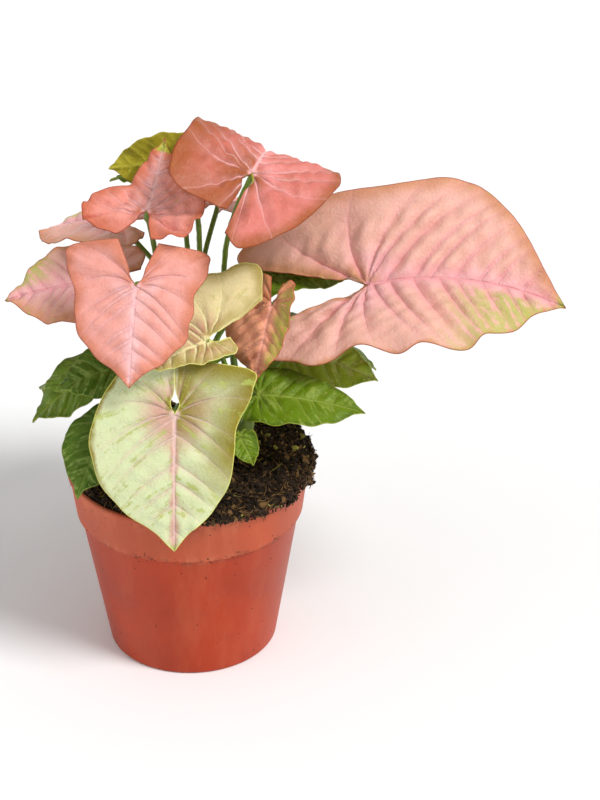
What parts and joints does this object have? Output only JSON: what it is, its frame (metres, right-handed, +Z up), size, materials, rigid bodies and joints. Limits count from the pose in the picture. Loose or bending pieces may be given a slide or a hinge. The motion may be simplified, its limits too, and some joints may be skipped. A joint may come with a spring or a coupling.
{
  "type": "potted arrowhead plant",
  "caption": "Young arrowhead plant with thin-stalked, arrow-shaped leaves in pink, cream and green, standing in potting soil in a round plastic nursery pot.",
  "frame": {"origin": "centre of the pot's underside, on the surface that it stands on", "axes": "+Z up along the pot's axis, -Y towards the front, +X to the right as seen from the front"},
  "size_m": [0.2663, 0.1983, 0.2678],
  "materials": {
    "pot": "thin moulded terracotta-orange plastic with a satin sheen, dusty and flecked with soil at the rim and the collar",
    "soil": "moist black-brown peat mix with crumbs, fibres and a few pale specks",
    "shoot": "smooth fresh green stalks, paler where they sheath the stem",
    "leaf_pink": "soft satin salmon-pink blade with sunken side veins, green flecks towards the tip",
    "leaf_coral": "soft satin coral blade with pale pink veins and a green tip",
    "leaf_pale": "soft satin cream to pale green blade with pink veins",
    "leaf_green": "satin mid-green blade, lightly mottled, paler below",
    "leaf_dark": "satin dark green blade with paler mottling"
  },
  "bodies": {
    "root": {"pot": "pot", "soil": "soil", "shoot_1": "shoot", "shoot_2": "shoot", "shoot_3": "shoot", "shoot_4": "shoot", "shoot_5": "shoot", "leaf_broad_right": "leaf_pink", "leaf_top": "leaf_coral", "leaf_upper_left": "leaf_coral", "leaf_pink_front": "leaf_coral", "leaf_pale_front": "leaf_pale", "leaf_cream": "leaf_pale", "leaf_folded": "leaf_coral", "leaf_green_right": "leaf_green", "leaf_green_low": "leaf_green", "leaf_olive": "leaf_green", "leaf_back_green": "leaf_green", "leaf_dark_left": "leaf_dark", "leaf_dark_front": "leaf_dark", "leaf_grey_front": "leaf_green", "leaf_small_front": "leaf_green", "leaf_under_broad": "leaf_green", "leaf_left": "leaf_pink", "leaf_left_low": "leaf_green", "leaf_back_left": "leaf_pink", "leaf_back": "leaf_pink", "leaf_back_right": "leaf_coral", "leaf_back_low": "leaf_pale", "leaf_back_left_low": "leaf_green", "leaf_back_right_low": "leaf_green"}
  },
  "joints": []
}
